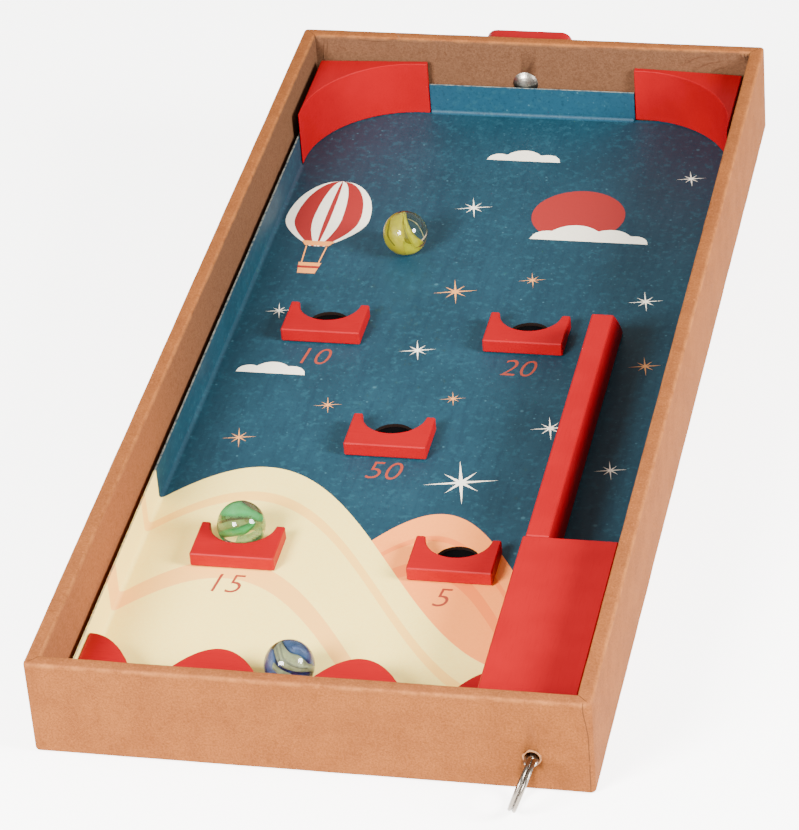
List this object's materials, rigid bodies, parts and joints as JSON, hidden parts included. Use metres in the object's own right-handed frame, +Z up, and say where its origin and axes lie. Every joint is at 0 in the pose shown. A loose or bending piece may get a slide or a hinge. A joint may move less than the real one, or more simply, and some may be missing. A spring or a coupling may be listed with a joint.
{
  "type": "tabletop marble game",
  "caption": "Tabletop marble game: a wrapped tray on a turning rear foot, with a printed board, notched catches, corner arcs, a scalloped bumper and a sprung plunger with a pull ring.",
  "frame": {"origin": "on the table, in the middle of the standing game's outline: halfway along its length and width", "axes": "+X to the player's right, +Y along the table from the player's end to the foot, +Z up; the tray stands tipped back about X by 4.93 degrees"},
  "size_m": [0.175, 0.4228, 0.0674],
  "materials": {
    "kraft_board": "matt brown kraft paper wrapped round board, with folded corners",
    "printed_card": "satin printed card, deep blue sky over a cream ground",
    "black_card": "matt black card",
    "red_wood": "semi-gloss red paint on cut wood",
    "bare_wood": "unpainted turned beech",
    "nickel_steel": "bright nickel plate",
    "spring_steel": "drawn spring wire",
    "yellow_glass": "polished glass with a yellow and green swirl",
    "green_glass": "polished clear glass with green ribbons",
    "blue_glass": "polished clear glass with a blue and cream swirl"
  },
  "bodies": {
    "tray": {"tray_floor": "kraft_board", "front_wall": "kraft_board", "back_wall": "kraft_board", "left_wall": "kraft_board", "right_wall": "kraft_board", "backing_sheet": "black_card", "printed_board": "printed_card", "left_deflector": "red_wood", "right_deflector": "red_wood", "catch_10": "red_wood", "catch_20": "red_wood", "catch_50": "red_wood", "catch_15": "red_wood", "catch_5": "red_wood", "lane_divider": "red_wood", "launcher_block": "red_wood", "front_bumper": "red_wood", "return_spring": "spring_steel", "spring_washer": "nickel_steel", "pivot_bolt": "nickel_steel", "inner_washer": "nickel_steel", "outer_washer": "nickel_steel", "pivot_nut": "nickel_steel"},
    "plunger": {"plunger_rod": "nickel_steel", "plunger_head": "bare_wood"},
    "ring": {"pull_ring": "nickel_steel"},
    "foot": {"rear_foot": "red_wood"},
    "yellow_ball": {"yellow_marble": "yellow_glass"},
    "green_ball": {"green_marble": "green_glass"},
    "blue_ball": {"blue_marble": "blue_glass"}
  },
  "joints": [
    {"name": "plunger_pull", "type": "slide", "parent": "tray", "child": "plunger", "axis": [0, -0.9963, -0.0859], "range_m": [0, 0.028], "stiffness_N_per_m": 200, "springref_m": -0.006, "deforming": ["return_spring"]},
    {"name": "ring_swing", "type": "hinge", "parent": "plunger", "child": "ring", "pos_m": [0.0687, -0.19343, 0.01211], "axis": [-1, 0, 0], "range_deg": [0, 40]},
    {"name": "foot_turn", "type": "hinge", "parent": "tray", "child": "foot", "pos_m": [-0.0025, 0.19845, 0.05019], "axis": [0, 0.9963, 0.0859], "range_deg": [-90, 90]},
    {"name": "yellow_marble_roll", "type": "slide", "parent": "tray", "child": "yellow_ball", "axis": [0, -0.9963, -0.0859], "range_m": [-0.0897, 0.0368]},
    {"name": "green_marble_lift", "type": "slide", "parent": "tray", "child": "green_ball", "axis": [0, -0.0859, 0.9963], "range_m": [0, 0.03]},
    {"name": "blue_marble_roll", "type": "slide", "parent": "tray", "child": "blue_ball", "axis": [0, 0.9963, 0.0859], "range_m": [0, 0.115]}
  ]
}
